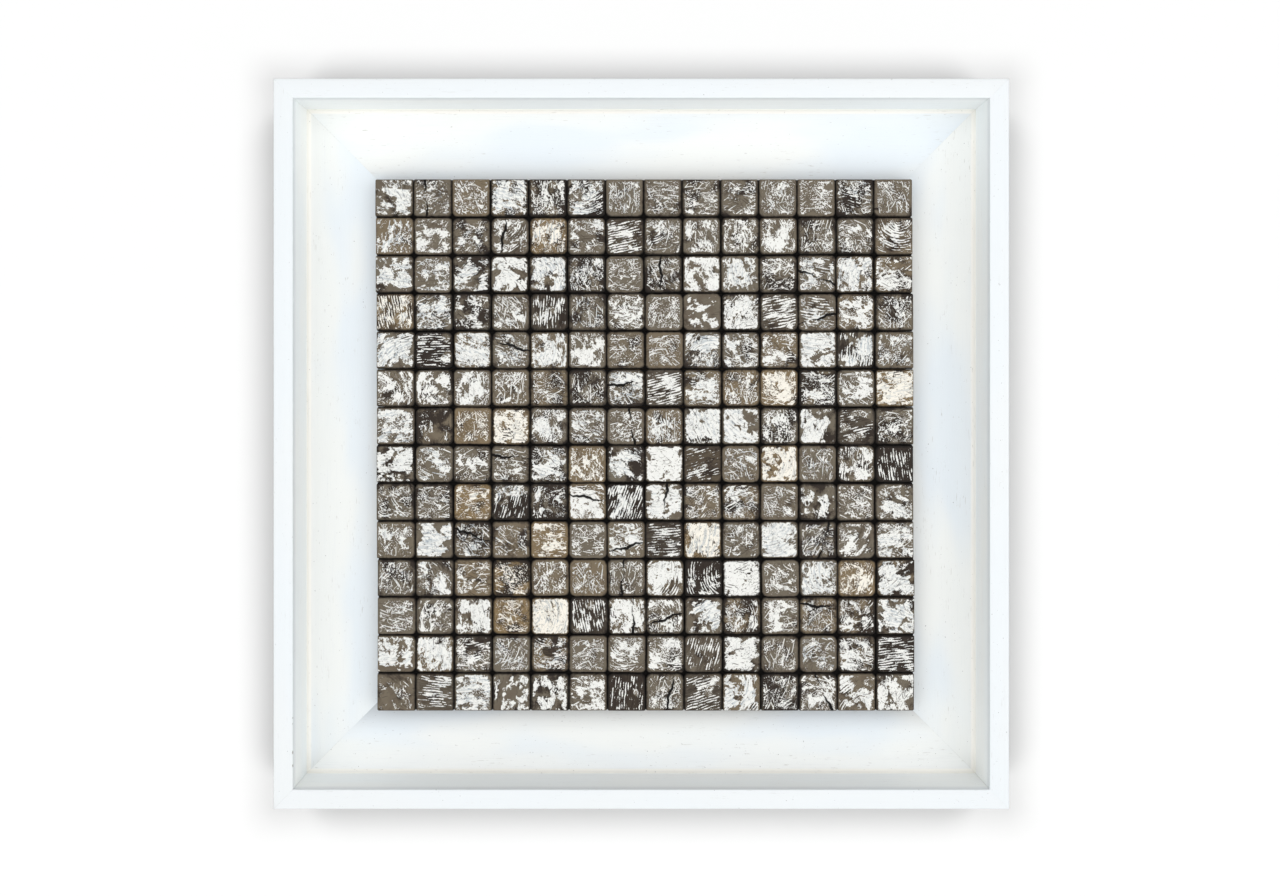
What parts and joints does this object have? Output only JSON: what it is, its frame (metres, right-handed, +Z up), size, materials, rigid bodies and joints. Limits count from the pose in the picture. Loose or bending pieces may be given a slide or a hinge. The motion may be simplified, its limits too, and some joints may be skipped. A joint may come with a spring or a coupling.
{
  "type": "framed wood mosaic wall panel",
  "caption": "Square wall panel: a mosaic of white-distressed teak blocks standing proud of a flat ledge inside a deep white tray frame, hung flat on a wall.",
  "frame": {"origin": "middle of the back face of the frame's top side, where the panel is hung on the wall", "axes": "+Y out of the panel's back into the wall, +Z up, +X to the right as seen from the front; the front faces -Y"},
  "size_m": [0.6, 0.06, 0.5958],
  "materials": {
    "rim_paint": "white paint, satin, wood grain barely showing through",
    "ledge_paint": "white paint, matt, with short grain marks along each board",
    "plywood": "bare plywood, unfinished",
    "weathered_teak": "weathered teak with black-stained joints and worn, scratched white paint"
  },
  "bodies": {
    "root": {"frame_top": "rim_paint", "frame_right": "rim_paint", "frame_bottom": "rim_paint", "frame_left": "rim_paint", "ledge_top": "ledge_paint", "ledge_right": "ledge_paint", "ledge_bottom": "ledge_paint", "ledge_left": "ledge_paint", "mosaic_board": "plywood", "block_row_01": "weathered_teak", "block_row_02": "weathered_teak", "block_row_03": "weathered_teak", "block_row_04": "weathered_teak", "block_row_05": "weathered_teak", "block_row_06": "weathered_teak", "block_row_07": "weathered_teak", "block_row_08": "weathered_teak", "block_row_09": "weathered_teak", "block_row_10": "weathered_teak", "block_row_11": "weathered_teak", "block_row_12": "weathered_teak", "block_row_13": "weathered_teak", "block_row_14": "weathered_teak"}
  },
  "joints": []
}
